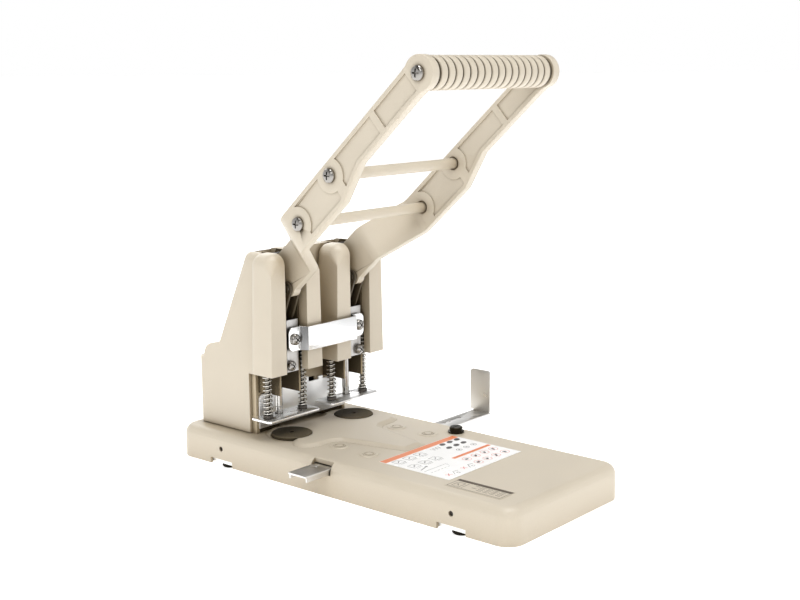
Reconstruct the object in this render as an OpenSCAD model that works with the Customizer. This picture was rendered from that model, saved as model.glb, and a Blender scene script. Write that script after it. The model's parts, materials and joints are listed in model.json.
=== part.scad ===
// Heavy-duty two-hole paper punch: cast handle on a sprung linkage, two hollow
// punches at the standard pitch, turning cutting discs and a side gauge.
// +X is the side where the gauge flag stands, +Y is the back, +Z is up.
// The origin is the centre of the base's outline, on the surface it stands on.

/* [Base] */
// Width of the base
base_w = 143; // [138:1:160]
// Length of the base, front to back
base_l = 345; // [340:1:380]
// Height of the table above the surface the feet stand on
table_z = 30; // [28:0.5:34]
// Gap between the skirt and the surface it stands on
skirt_z = 3; // [2:0.5:4]
// Radius of the four corners in plan
corner_r = 14; // [12:0.5:20]
// Radius of the rounded top edge
edge_r = 8; // [6:0.5:9]
// Wall of the base moulding
base_wall = 2.5; // [2:0.1:3]
// Height of the raised paper bed above the table
bed_h = 2.1; // [1.5:0.1:2.6]
// Distance of the feet from the middle, across
foot_x = 60; // [56:1:62]
// Distance of the feet from the middle, lengthways
foot_y = 121; // [115:1:125]
// Radius of a rubber foot
foot_r = 7; // [6:0.5:8]

/* [Punching] */
// Distance between the two punch centres
punch_pitch = 80; // [80:0.5:81]
// Distance of the punch centres behind the middle of the base
punch_y = 83.3; // [82:0.1:84]
// Distance from a hole's centre to the edge of the paper
hole_to_edge = 12; // [11:0.5:13]
// Radius of a punch's shank
punch_r = 3.25; // [3.1:0.05:3.4]
// Radius of a punched hole
hole_r = 3; // [2.75:0.05:3.05]
// Radius of a cutting disc
disc_r = 16.5; // [15:0.5:17]
// Distance of a cutting disc's centre from the middle, across
disc_x = 37.2; // [36.5:0.1:38]
// Distance of the cutting discs behind the middle of the base
disc_y = 71.8; // [71:0.1:72.5]
// How far the punches travel
stroke = 12.6; // [12:0.1:12.7]

/* [Head] */
// Distance of a tower's centre from the middle, across
tower_x = 37.5; // [37:0.1:38]
// Width of a tower at its foot
tower_w = 57.2; // [56:0.2:58]
// Narrowing of a tower from its foot to its top, on each side
tower_draft = 2; // [0:0.5:3]
// Width of the slot that splits a tower
slot_w = 23.8; // [23.6:0.1:24]
// Front of the towers
tower_y = 63.1; // [62:0.1:64]
// Underside of the towers
tower_z = 84.4; // [84:0.1:86]
// Top of the head cover
head_z = 181; // [180:0.5:184]
// Width of the rear housing
housing_w = 110.6; // [109:0.2:112]
// Back of the rear housing
housing_y = 163.2; // [161:0.2:164]
// Wall of the head cover
head_wall = 2.4; // [2:0.1:2.6]

/* [Handle] */
// Handle angle above level at rest
arm_angle = 42; // [41:0.5:43]
// Pivot of the handle behind the middle of the base
pivot_y = 86; // [85.5:0.1:86.5]
// Height of the handle's pivot
pivot_z = 156; // [155.5:0.1:156.5]
// Distance of the grip's axis in front of the middle of the base
grip_y = 95; // [94:0.5:96]
// Height of the grip's axis
grip_z = 320.5; // [319:0.5:322]
// Width over the arms
arms_w = 150.6; // [149:0.2:152]
// Thickness of an arm
arm_t = 7.4; // [7:0.1:7.6]
// Radius of the grip
grip_r = 12; // [11:0.25:12.5]
// Number of rings on the grip
rings = 16; // [12:1:18]
// Radius of the tie rods
rod_r = 4.25; // [3.5:0.05:4.4]

/* [Side gauge] */
// Distance of the gauge's centre behind the middle of the base
gauge_y = 6.5; // [4:0.5:8]
// Width of the gauge strip
gauge_w = 18.8; // [17:0.2:19]
// Left end of the gauge strip
gauge_x0 = -96.6; // [-98:0.2:-95]
// Outer face of the gauge flag
gauge_x1 = 133; // [130:0.5:139]
// Top of the gauge flag
flag_z = 62.8; // [56:0.2:64]

/* [Hidden] */
$fn = 64;
hull_fn = 32;
far = 400;
c_cream = [0.85, 0.80, 0.72];
c_tan = [0.74, 0.68, 0.56];
c_steel = [0.78, 0.78, 0.77];
c_dark = [0.22, 0.20, 0.17];
c_black = [0.10, 0.09, 0.08];

// The base moulding
inner_z = table_z - 3;
notch_y = 120;
notch_l = 26;
tray_z = skirt_z + 1;
tray_t = 1.5;
side_screw_z = 17;
cap_places = [[34.6, 21], [36, -11.5]];
knob_x = 54.3;
knob_y = -26.1;
knob_stem_r = 3;

// The cutting discs stand just above the bed
disc_top = table_z + 2.9;
disc_hub_r = 5;

// The head: slots, cheeks of the chassis, and the plates behind the paper
slot_x0 = tower_x - slot_w / 2;
slot_x1 = tower_x + slot_w / 2;
cheek_t = 1.8;
cheek_x0 = slot_x0 + 0.2;
cheek_x1 = slot_x1 - 0.2;
cheek_bottom = 65;
stop_t = 1.5;
stop_plate_y = punch_y + hole_to_edge;
leg_y0 = stop_plate_y + 2 * stop_t;
leg_y1 = 126;
bolt_ys = [106, 117];
bolt_r = 3;
bridge_x = housing_w / 2 - head_wall - 0.5;
bridge_top = 88;
rivet_x = 49.6;
rivet_z = 81.4;
boss_x = 48.8;
boss_ys = [132.5, 150];
drawer_x = 43.6;
drawer_y = 128;
drawer_top = 78.2;

// Pressure plates and the rods they hang on
plate_x0 = 7;
plate_x1 = 65;
plate_y0 = 67.6;
plate_y1 = 88.6;
plate_top = 47.6;
plate_t = 1.8;
rod_xs = [17.5, 56.2];
rod_y = 78.8;
guide_r = 2;
nut_h = 2.6;
ear_z = 105;
ear_t = 2.5;
ear_half = 5;
spring_r = 3.5;
spring_wire = 0.55;
spring_turns = 17;

// The linkage: handle pivot, link pin on the arm, and pin on the carrier
link_y = 68;
link_z = 152.5;
carry_y = 82.5;
carry_z = 116;
link_t = 2;
link_eye = 5.4;
lug_r = 6.5;
link_waist = 5;
link_gap = 0.3;
pin_r = 3;
pivot_r = 5;
open_gap = 1;
tail_x0 = tower_x - arm_t / 2;
tail_x1 = tower_x + arm_t / 2;

// The carriers that the strap ties together
bar_y0 = 68.6;
bar_y1 = 71.1;
block_top = 98;
punch_top = 92;
strap_z0 = 101;
strap_z1 = 120.5;
strap_t = 1.6;
strap_y0 = 58.8;
strap_ear_y = 65.5;
strap_ear_x = 37.8;
clamp_z = 89.2;

// The arms, drawn along their own length from the grip's axis
arm_x1 = arms_w / 2;
arm_x0 = arm_x1 - arm_t;
fold_a = 171.6;
fold_b = 203;
arm_hi = 11;
arm_lo = -21;
arm_neck = -10.5;
rod_upper = [110.3, 1.7];
rod_lower = [159.7, -4.3];
panel_depth = 1.1;
rod_seat = 1.6;
collar_l = 3;

// Place of a point of the side view on the arms' own axes
function on_arm(y, z) = let(a = arm_angle, dy = y + grip_y, dz = z - grip_z)
    [dy * cos(a) - dz * sin(a), dy * sin(a) + dz * cos(a)];
pivot_on_arm = on_arm(pivot_y, pivot_z);
link_on_arm = on_arm(link_y, link_z);

// Left and right copies
module both() {
    children();
    mirror([1, 0, 0]) children();
}

// A cylinder along X, from x0 to x1
module xcyl(x0, x1, y, z, r) {
    translate([x0, y, z]) rotate([0, 90, 0]) cylinder(h = x1 - x0, r = r);
}

// A cylinder along Y, from y0 to y1
module ycyl(x, y0, y1, z, r) {
    translate([x, y0, z]) rotate([-90, 0, 0]) cylinder(h = y1 - y0, r = r);
}

// A cylinder along Z, from z0 to z1
module zcyl(x, y, z0, z1, r) {
    translate([x, y, z0]) cylinder(h = z1 - z0, r = r);
}

// A box between two corners
module box(low, high) {
    translate(low) cube(high - low);
}

// A side view outline made as thick as x0 to x1
module side_plate(x0, x1) {
    translate([x0, 0, 0]) rotate([90, 0, 90]) linear_extrude(height = x1 - x0) children();
}

// A domed cross-head screw along -Y: head face at y = 0, shank towards +Y
module pan_screw(head_r, head_h, shank_r, shank_l) {
    slot = head_r * 0.22;
    rotate([-90, 0, 0]) {
        cylinder(h = shank_l, r = shank_r);
        difference() {
            rotate([180, 0, 0]) rotate_extrude() polygon(concat([[0, 0], [head_r, 0]],
                [for (a = [0 : 15 : 90]) [head_r * cos(a * 0.9), head_h * (0.35 + 0.65 * sin(a))]],
                [[0, head_h]]));
            for (a = [45, 135]) rotate([0, 0, a]) translate([0, 0, -head_h])
                cube([head_r * 1.1, slot, head_h], center = true);
        }
    }
}

/* ---- Base ---- */

// A corner post with a rounded top edge
module corner_post(r, edge, z0, z1) {
    translate([0, 0, z0]) rotate_extrude($fn = hull_fn) polygon(concat([[0, 0], [r, 0]],
        [for (a = [0 : 15 : 90]) [r - edge + edge * cos(a), z1 - z0 - edge + edge * sin(a)]],
        [[0, z1 - z0]]));
}

// The moulding's outer or inner form
module base_form(inset, z0, z1) {
    x = base_w / 2 - corner_r;
    y = base_l / 2 - corner_r;
    hull() for (sx = [-1, 1], sy = [-1, 1]) translate([sx * x, sy * y, 0])
        corner_post(corner_r - inset, edge_r - inset, z0, z1);
}

// Outline of the raised bed: lobes round the discs, and a tongue that runs forward between them
module bed_outline() {
    half = [[17, 90], [26, 96.5], [38, 96.5], [45, 91], [50, 83], [47, 59], [55, 50], [56, 43], [52, 37.5],
            [43, 34.5], [30, 34], [23, 29], [20, 14], [15.5, -6], [10.5, -27]];
    offset(r = -4) offset(delta = 4) offset(r = 2) offset(delta = -2)
        polygon(concat(half, [for (i = [len(half) - 1 : -1 : 0]) [-half[i][0], half[i][1]]]));
}

// The raised bed that carries the paper, sloping at its edge
module paper_bed() {
    steps = 3;
    slope = 3.6;
    for (i = [1 : steps]) translate([0, 0, table_z - 0.5]) linear_extrude(height = 0.5 + bed_h * i / steps)
        offset(delta = -slope * i / steps) bed_outline();
}

module base_cover() {
    color(c_cream) difference() {
        union() {
            difference() {
                base_form(0, skirt_z, table_z);
                base_form(base_wall, skirt_z - 1, inner_z);
            }
            paper_bed();
            for (p = cap_places) both() translate([p[0], p[1], table_z - 0.1])
                cylinder(h = 0.7, r1 = 8.2, r2 = 7.2);
        }
        both() {
            zcyl(disc_x, disc_y, table_z, far, disc_r + 0.4);
            zcyl(disc_x, disc_y, 0, far, disc_hub_r + 0.05);
            for (p = cap_places) zcyl(p[0], p[1], table_z - 0.6, far, 5);
            for (y = bolt_ys) zcyl(tower_x, y, 0, far, bolt_r + 0.2);
            for (y = boss_ys) zcyl(boss_x, y, 0, far, 1.9);
            for (y = [-notch_y, notch_y]) {
                box([base_w / 2 - 6, y - notch_l / 2, 0], [far, y + notch_l / 2, skirt_z + 5]);
                xcyl(base_w / 2 - 6, far, y, side_screw_z, 2.1);
            }
            box([base_w / 2 - 5, gauge_y - gauge_w / 2 - 1, table_z - 10.2],
                [far, gauge_y + gauge_w / 2 + 1, far]);
        }
        zcyl(knob_x, knob_y, 0, far, knob_stem_r + 0.05);
    }
}

// Steel plate under the table that the chassis is bolted to
module base_frame() {
    color(c_steel) difference() {
        box([-62, 46, inner_z - 3], [62, 160, inner_z]);
        both() {
            zcyl(disc_x, disc_y, 0, far, 7.4);
            for (y = bolt_ys) zcyl(tower_x, y, 0, far, bolt_r + 0.2);
            for (y = boss_ys) zcyl(boss_x, y, 0, far, 1.9);
        }
    }
}

// Steel tray that closes the base from below, with a flange up each side
module bottom_tray() {
    x = base_w / 2 - base_wall - 0.3;
    y = base_l / 2 - base_wall - 0.3;
    r = corner_r - base_wall;
    color(c_steel) difference() {
        union() {
            translate([0, 0, tray_z]) linear_extrude(height = tray_t) {
                square([2 * x - 2 * r, 2 * y], center = true);
                square([2 * x, 2 * y - 2 * r], center = true);
                for (sx = [-1, 1], sy = [-1, 1]) translate([sx * (x - r), sy * (y - r)]) circle(r = r);
            }
            both() for (y = [-notch_y, notch_y]) box([x - tray_t, y - 20, tray_z], [x, y + 20, 21]);
        }
        both() for (sy = [-1, 1]) {
            zcyl(foot_x, sy * foot_y, 0, far, 4);
            xcyl(foot_x, far, sy * notch_y, side_screw_z, 1.6);
        }
    }
}

// Rubber feet with a bolt hole, each clipped through the tray
module feet() {
    r = 2.25;
    z = tray_z + tray_t;
    color(c_black) both() for (sy = [-1, 1]) translate([foot_x, sy * foot_y, 0]) rotate_extrude()
        polygon([[r, 0], [foot_r - 0.8, 0], [foot_r, 0.8], [foot_r, tray_z], [4, tray_z], [4, z],
                 [5.5, z], [5, z + 1.5], [r, z + 1.5]]);
}

// Screws through the skirt into the tray's flanges
module tray_screws() {
    x = base_w / 2 - 1.2;
    z = side_screw_z;
    color(c_dark) both() for (y = [-notch_y, notch_y]) {
        difference() {
            xcyl(x - 1.1, x, y, z, 2);
            translate([x, y, z]) cube([1, 0.6, 2.6], center = true);
            translate([x, y, z]) cube([1, 2.6, 0.6], center = true);
        }
        xcyl(x - 7, x - 1.1, y, z, 1.5);
    }
}

// Plugs over the screws in the table
module screw_caps() {
    color(c_cream) both() for (p = cap_places) difference() {
        translate([p[0], p[1], table_z - 0.6]) cylinder(h = 1.4, r1 = 4.9, r2 = 4.7);
        translate([p[0], p[1], table_z + 0.8]) rotate_extrude() translate([3.5, 0]) circle(r = 0.5, $fn = 16);
    }
}

module instruction_label() {
    color([0.97, 0.97, 0.96]) box([-45.5, -98, table_z], [44.2, -30.2, table_z + 0.25]);
}

module printed_panel() {
    color([0.80, 0.75, 0.66]) box([-56, -151, table_z], [-38, -102, table_z + 0.2]);
}

/* ---- Cutting discs ---- */

// A disc that turns on a snap-in hub, so that fresh plastic comes under the punch
module cutting_disc() {
    z = disc_top;
    color(c_dark) translate([disc_x, disc_y, 0]) difference() {
        rotate_extrude() polygon([[0, z], [disc_r - 0.6, z], [disc_r, z - 0.6], [disc_r, table_z + 0.1],
            [disc_hub_r, table_z + 0.1], [disc_hub_r, inner_z - 0.1], [6.6, inner_z - 0.1],
            [6.2, inner_z - 2.5], [0, inner_z - 2.5]]);
        translate([0, 0, z - 1.5]) cylinder(h = 5, r = 2);
    }
}

module disc_right() {
    cutting_disc();
}

module disc_left() {
    mirror([1, 0, 0]) cutting_disc();
}

/* ---- Side gauge ---- */

gauge_top = table_z - 4.7;
gauge_t = 1.4;
gauge_skirt = 4.6;

// The strip, a shallow channel with its end bent up as a flag
module gauge_strip() {
    y0 = gauge_y - gauge_w / 2;
    y1 = gauge_y + gauge_w / 2;
    flag_y1 = y1 + 2.4;
    r = 3;
    color(c_steel) difference() {
        union() {
            box([gauge_x0, y0, gauge_top - gauge_t], [gauge_x1, y1, gauge_top]);
            for (y = [y0, y1 - gauge_t])
                box([gauge_x0 + 1, y, gauge_top - gauge_skirt], [gauge_x1 - 5, y + gauge_t, gauge_top]);
            box([gauge_x1 - gauge_t, y0 + 1, gauge_top - gauge_t], [gauge_x1, y1 - 1, gauge_top + 2]);
            box([gauge_x1 - gauge_t, y0, gauge_top + 1], [gauge_x1, flag_y1, flag_z - r]);
            box([gauge_x1 - gauge_t, y0 + r, flag_z - r - 1], [gauge_x1, flag_y1 - r, flag_z]);
            for (y = [y0 + r, flag_y1 - r]) xcyl(gauge_x1 - gauge_t, gauge_x1, y, flag_z - r, r);
        }
        for (x = [83, 89.5, 104, -74]) zcyl(x, gauge_y + 2, 0, gauge_top + 1, 1.3);
    }
}

// Channel under the table that the strip runs in
module gauge_guide() {
    w = gauge_w / 2 + 0.8;
    z0 = gauge_top - gauge_skirt - 2;
    x = base_w / 2 - 11;
    color(c_tan) {
        difference() {
            box([-x, gauge_y - w - 2, z0], [x, gauge_y + w + 2, inner_z]);
            box([-x - 1, gauge_y - w, z0 + 1.5], [x + 1, gauge_y + w, inner_z + 1]);
            box([knob_x - 5, gauge_y - w - 3, gauge_top], [knob_x + 4.2, gauge_y - w + 1, inner_z + 1]);
        }
    }
}

// Spring leaf that the knob's screw presses on the strip
module gauge_clamp() {
    color(c_steel) difference() {
        box([knob_x - 4, knob_y - 6, gauge_top + 0.4], [knob_x + 4, gauge_y, gauge_top + 1.3]);
        zcyl(knob_x, knob_y, 0, far, knob_stem_r + 0.2);
    }
}

// Black knob that locks the gauge
module gauge_knob() {
    color(c_black) translate([knob_x, knob_y, 0]) difference() {
        rotate_extrude() polygon([[0, table_z - 9], [knob_stem_r, table_z - 9], [knob_stem_r, table_z + 0.2],
            [6.6, table_z + 0.2], [6.6, table_z + 1.4], [5.4, table_z + 1.7], [5.3, table_z + 4.4],
            [4.6, table_z + 5], [0, table_z + 5]]);
        for (a = [0 : 30 : 330]) rotate([0, 0, a]) translate([5.7, 0, table_z + 1.7])
            cylinder(h = 5, r = 0.6, $fn = 16);
        box([-3.6, -0.5, table_z + 4.4], [3.6, 0.5, table_z + 6]);
    }
}

/* ---- Chassis ---- */

// Place of the stop pin, just above the arm's upper edge in front of the pivot
stop_pin_r = 3;
stop_pin_s = 232;
stop_pin_v = arm_hi + stop_pin_r + 0.3;
stop_pin_y = -grip_y + stop_pin_s * cos(arm_angle) + stop_pin_v * sin(arm_angle);
stop_pin_z = grip_z - stop_pin_s * sin(arm_angle) + stop_pin_v * cos(arm_angle);

// Side view of a cheek: a leg at the back, and a nose cut away where the carrier's ears pass
module cheek_outline() {
    difference() {
        polygon([[72, cheek_bottom], [72, 165], [79, 180.5], [95, 180.5], [103.4, 166], [leg_y1, 104],
                 [leg_y1, table_z], [leg_y0, table_z], [leg_y0, cheek_bottom]]);
        translate([71, ear_z - stroke - 1.2]) square([14.8, stroke + ear_t + 2.4]);
        translate([pivot_y, pivot_z]) circle(r = pivot_r);
        translate([stop_pin_y, stop_pin_z]) circle(r = stop_pin_r);
    }
}

// One channel: two cheeks, a back web with a window for the chips, and a foot flange
module chassis() {
    color(c_tan) difference() {
        union() {
            side_plate(cheek_x0, cheek_x0 + cheek_t) cheek_outline();
            side_plate(cheek_x1 - cheek_t, cheek_x1) cheek_outline();
            box([cheek_x0, leg_y1 - cheek_t, table_z], [cheek_x1, leg_y1, 104]);
            box([cheek_x0, leg_y0, table_z], [cheek_x1, leg_y1, table_z + 2]);
        }
        for (y = bolt_ys) zcyl(tower_x, y, 0, table_z + 3, bolt_r + 0.2);
        box([cheek_x0 + cheek_t + 0.1, leg_y1 - 5, 52], [cheek_x1 - cheek_t - 0.1, leg_y1 + 1, 84]);
    }
}

module chassis_right() {
    chassis();
}

module chassis_left() {
    mirror([1, 0, 0]) chassis();
}

// Cross plate between the channels, with a leg at each side and steps along its lower edge
module chassis_bridge() {
    y = stop_plate_y + stop_t;
    color(c_tan) difference() {
        union() {
            box([-bridge_x, y, 60], [bridge_x, y + stop_t, bridge_top]);
            both() {
                box([bridge_x - stop_t, y, table_z], [bridge_x, y + 8, bridge_top]);
                box([bridge_x - 3.2, y, table_z], [bridge_x, y + stop_t, 61]);
                translate([rivet_x, y + 0.1, rivet_z]) rotate([90, 0, 0]) cylinder(h = 1, r1 = 1.9, r2 = 1.5);
            }
        }
        both() {
            for (x = [cheek_x0, cheek_x1 - cheek_t])
                box([x - 0.1, 0, cheek_bottom - 1], [x + cheek_t + 0.1, far, far]);
            box([8, 0, 0], [16, far, 66]);
            box([19.5, 0, 0], [23.5, far, 63]);
            box([31, 0, 0], [44, far, 64]);
        }
        box([-4, 0, 0], [4, far, 64]);
    }
}

// Sloping plates that lead the chips from the punches back to the drawer
module chip_chutes() {
    x0 = cheek_x0 + cheek_t + 0.3;
    x1 = cheek_x1 - cheek_t - 0.3;
    color(c_steel) both() side_plate(x0, x1)
        polygon([[leg_y0 + 0.2, 84], [drawer_y + 5, 56.5], [drawer_y + 5, 55.3], [leg_y0 + 0.2, 82.8]]);
}

// Bolts and nuts that hold the chassis to the plate under the table
module chassis_bolts() {
    color(c_steel) both() for (y = bolt_ys) {
        zcyl(tower_x, y, inner_z - 7, table_z + 2, bolt_r);
        translate([tower_x, y, table_z + 2]) cylinder(h = 4, r = 5.5, $fn = 6);
        difference() {
            translate([tower_x, y, inner_z - 6]) cylinder(h = 3, r = 5.5, $fn = 6);
            zcyl(tower_x, y, 0, far, bolt_r + 0.05);
        }
    }
}

// Bright plate that the paper's edge is pushed against
module paper_stop() {
    y = stop_plate_y;
    r = 4;
    color([0.9, 0.9, 0.9]) union() {
        box([-50.2, y, table_z + 4], [50.2, y + stop_t, 62.5 - r]);
        box([-50.2 + r, y, table_z + 4], [50.2 - r, y + stop_t, 62.5]);
        both() {
            ycyl(50.2 - r, y, y + stop_t, 62.5 - r, r);
            box([1.5, y, 62], [7, y + stop_t, 67]);
            box([19, y, 62], [24, y + stop_t, 65]);
        }
    }
}

// Short shafts that the arms turn on
module pivot_pins() {
    color(c_steel) both() xcyl(slot_x0 + 0.1, slot_x1 - 0.1, pivot_y, pivot_z, pivot_r - 0.01);
}

// Pins that the arms rest against when the handle is up
module stop_pins() {
    color(c_steel) both() xcyl(slot_x0 + 0.1, slot_x1 - 0.1, stop_pin_y, stop_pin_z, stop_pin_r - 0.01);
}

// Torsion springs round the shafts, with one leg on the chassis and one under the arm
module return_springs() {
    wire = 0.7;
    turns = 3;
    pitch = 1.8 * wire;
    x = cheek_x0 + cheek_t + 0.3 + wire;
    r = pivot_r + 0.4 + wire;
    color(c_dark) both() {
        for (i = [0 : turns - 1]) translate([x + i * pitch, pivot_y, pivot_z]) rotate([0, 90, 0])
            rotate_extrude() translate([r, 0]) circle(r = wire, $fn = 16);
        translate([x, pivot_y, pivot_z - r]) rotate([-90, 0, 0]) cylinder(h = 14, r = wire, $fn = 16);
        translate([x + (turns - 1) * pitch, pivot_y, pivot_z + r]) rotate([-90, 0, 0])
            cylinder(h = 12, r = wire, $fn = 16);
    }
}

/* ---- Head cover ---- */

// Outer form of a tower: its front edges stay sharp up to the rounded top
module tower_form() {
    r = 10;
    back_r = 8;
    x0 = tower_x - tower_w / 2;
    x1 = tower_x + tower_w / 2;
    y1 = 90.5;
    sharp_z = head_z - 1.7 * r;
    d = tower_draft * (sharp_z - tower_z) / (head_z - tower_z);
    hull() {
        box([x0, tower_y, tower_z], [x1, y1 - back_r, tower_z + 1]);
        box([x0, tower_y, tower_z], [x1 - back_r, y1, tower_z + 1]);
        translate([x1 - back_r, y1 - back_r, tower_z]) cylinder(h = 1, r = back_r, $fn = hull_fn);
        box([x0 + d, tower_y, sharp_z - 1], [x1 - d, tower_y + 1, sharp_z]);
        for (x = [x0 + tower_draft + r, x1 - tower_draft - r], y = [tower_y + r, y1 - r])
            translate([x, y, head_z - r]) sphere(r = r, $fn = hull_fn);
    }
}

// Outer form of the sloping upper housing and the low box behind it
module housing_form() {
    w = housing_w / 2;
    r = 8;
    back_r = 5;
    hump_r = 12;
    ledge_z = 87.4;
    foot_z = table_z + 0.8;
    hull() {
        box([-w, 88, tower_z], [w, 137, 100]);
        both() translate([w - r, 88.5, head_z - r - 0.5]) {
            rotate([-90, 0, 0]) cylinder(h = 10, r = r, $fn = hull_fn);
            translate([0, 11, 0]) sphere(r = r, $fn = hull_fn);
        }
    }
    hull() {
        box([-w, 101.6, foot_z], [w, housing_y - back_r, ledge_z]);
        both() zcyl(w - back_r, housing_y - back_r, foot_z, ledge_z, back_r);
    }
    hull() {
        box([-w, 101.6, ledge_z - 5], [w, 137, 101.5]);
        xcyl(-w, w, 156 - hump_r, 100 - hump_r, hump_r);
    }
    both() box([w - head_wall, 88.5, 80.6], [w, 103, tower_z + 2]);
}

module head_cover() {
    w = housing_w / 2 - head_wall;
    y0 = tower_y + head_wall;
    ear_room_y = rod_y + ear_half + 0.7;
    cavity_top = 158;
    color(c_cream) difference() {
        union() {
            difference() {
                union() {
                    housing_form();
                    both() tower_form();
                }
                hull() {
                    box([-w, 92.5, 80], [w, 134, 99]);
                    box([3 - w, 92.5, 170], [w - 3, 100, 175]);
                }
                box([-w, 101, table_z - 1], [w, 136, 98]);
                box([-w, 101, table_z - 1], [w, 150, 92]);
                box([-w, 101, table_z - 1], [w, housing_y - head_wall, 85]);
                box([-drawer_x - 0.4, 150, table_z - 1], [drawer_x + 0.4, far, drawer_top + 0.4]);
                both() {
                    box([slot_x0, 0, 0], [slot_x1, 104, far]);
                    box([slot_x1 + 2.2, y0, 0], [62, ear_room_y, cavity_top]);
                    box([slot_x1 + 2.2, y0, 0], [57.5, 88, cavity_top]);
                    box([11.6, y0, 0], [slot_x0 - 2.2, ear_room_y, cavity_top]);
                    box([15, y0, 0], [slot_x0 - 2.2, 89.6, cavity_top]);
                    box([slot_x0 - 3, 70, 0], [slot_x1 + 3, 88, ear_z + 14]);
                }
            }
            both() for (y = boss_ys) {
                zcyl(boss_x, y, table_z, table_z + 14, 3.8);
                box([boss_x, y - 2, table_z], [w + 1, y + 2, table_z + 14]);
            }
        }
        both() for (y = boss_ys) zcyl(boss_x, y, 0, table_z + 13, 1.6);
    }
}

// Screws from below the plate under the table into the head cover's bosses
module cover_screws() {
    color(c_steel) both() for (y = boss_ys) translate([boss_x, y, inner_z - 3])
        rotate([90, 0, 0]) pan_screw(3.4, 2, 1.59, 16);
}

// Drawer behind the punches that catches the chips, with a pull along its top
module chip_drawer() {
    t = 1.8;
    y1 = housing_y;
    z0 = table_z + 0.3;
    color(c_cream) difference() {
        union() {
            box([-drawer_x, drawer_y, z0], [drawer_x, y1, drawer_top]);
            box([-24, y1 - 1, 66], [24, y1 + 4, 69]);
            xcyl(-24, 24, y1 + 4, 67.5, 1.5);
            box([-24, y1 + 2.5, 62.5], [24, y1 + 5.5, 67.5]);
        }
        box([t - drawer_x, drawer_y + t, z0 + t], [drawer_x - t, y1 - 2.4, far]);
        box([-far, 0, 52], [far, y1 - 2.4, far]);
    }
}

/* ---- Handle ---- */

// Stand the arms' own axes on the grip's axis
module on_arm_axes() {
    translate([0, -grip_y, grip_z]) rotate([-arm_angle, 0, 0]) children();
}

// Outline of the arm above the fold
module arm_outline(inset) {
    s1 = fold_a - 4.5;
    offset(delta = -inset) polygon([[0, 11.5], [12, arm_hi], [s1, arm_hi], [s1, arm_lo],
        [114, arm_lo], [82, arm_neck], [12, arm_neck], [0, -11.5]]);
}

// A sunk panel between two lengths of the arm, cut back round a boss at each end
module panel_outline(s0, s1, bosses) {
    difference() {
        intersection() {
            arm_outline(3.2);
            translate([s0, -50]) square([s1 - s0, 100]);
        }
        for (b = bosses) translate(b) circle(r = 13);
    }
}

// The panels on one face of the arm
module panels() {
    panel_outline(9, 47, [[-4, 0]]);
    panel_outline(53, 103, [rod_upper]);
    panel_outline(112, 154, [rod_upper, rod_lower]);
}

// The arm's plan where it cranks inwards, with a soft bend at each end
module crank_outline() {
    bend = 9;
    x0 = (arm_x0 + arm_x1) / 2;
    x1 = tower_x;
    lean = atan2(x0 - x1, fold_b - fold_a);
    cut = bend * tan(lean / 2);
    s0 = fold_a - cut;
    s1 = fold_b + cut;
    turn_in = [for (i = [0 : 6]) lean * i / 6];
    turn_out = [for (i = [6 : -1 : 0]) lean * i / 6];
    turns = concat(turn_in, turn_out);
    mid = concat([for (a = turn_in) [x0 - bend * (1 - cos(a)), s0 + bend * sin(a)]],
        [for (a = turn_out) [x1 + bend * (1 - cos(a)), s1 - bend * sin(a)]]);
    side = [for (w = [1, -1]) [for (i = [0 : len(mid) - 1])
        mid[i] + w * arm_t / 2 * [cos(turns[i]), sin(turns[i])]]];
    n = len(mid) - 1;
    polygon(concat([[arm_x1, s0 - 1]], side[0], [[tail_x1, s1 + 1], [tail_x0, s1 + 1]],
        [for (i = [n : -1 : 0]) side[1][i]], [[arm_x0, s0 - 1]]));
}

// One cast arm: upper plate, crank towards the head, and tail in the slot
module arm() {
    p = pivot_on_arm;
    q = link_on_arm;
    color(c_cream) on_arm_axes() difference() {
        union() {
            side_plate(arm_x0, arm_x1) union() {
                arm_outline(0);
                circle(r = 12.5);
            }
            translate([0, 0, arm_lo]) linear_extrude(height = arm_hi - arm_lo) crank_outline();
            side_plate(tail_x0, tail_x1) union() {
                polygon([[fold_b + 4.5, arm_hi], [p[0] + 4, arm_hi], [p[0] + 9, arm_hi - 5],
                         [p[0] + 8, -12], [q[0] + 3, -21], [fold_b + 4.5, arm_lo]]);
                translate(p) circle(r = 11.5);
                translate(q) circle(r = 7);
            }
        }
        for (x = [arm_x0 - 1, arm_x1 - panel_depth]) side_plate(x, x + panel_depth + 1) panels();
        xcyl(tail_x0 - 1, tail_x1 + 1, p[0], p[1], pivot_r + 1.5);
        xcyl(tail_x0 - 1, tail_x1 + 1, q[0], q[1], pin_r);
        for (b = [rod_upper, rod_lower]) {
            xcyl(arm_x0 - 1, arm_x0 + 3, b[0], b[1], rod_r + 0.05);
            xcyl(arm_x0 - 1, arm_x0 + rod_seat, b[0], b[1], rod_r + 1.1);
            xcyl(arm_x0, arm_x1 + 1, b[0], b[1], 2.6);
        }
        xcyl(arm_x0 - 1, arm_x1 + 1, 0, 0, 2.6);
    }
}

module arm_right() {
    arm();
}

module arm_left() {
    mirror([1, 0, 0]) arm();
}

// Bronze bushes pressed in the arms
module pivot_bushes() {
    color([0.72, 0.55, 0.30]) both() difference() {
        xcyl(tail_x0 - 0.3, tail_x1 + 0.3, pivot_y, pivot_z, pivot_r + 1.5);
        xcyl(tail_x0 - 1, tail_x1 + 1, pivot_y, pivot_z, pivot_r + 0.04);
    }
}

// Tube through the grip
module grip_core() {
    color(c_steel) difference() {
        xcyl(-arm_x0, arm_x0, -grip_y, grip_z, 6);
        both() xcyl(arm_x0 - 14, arm_x0 + 1, -grip_y, grip_z, 2.5);
    }
}

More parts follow.
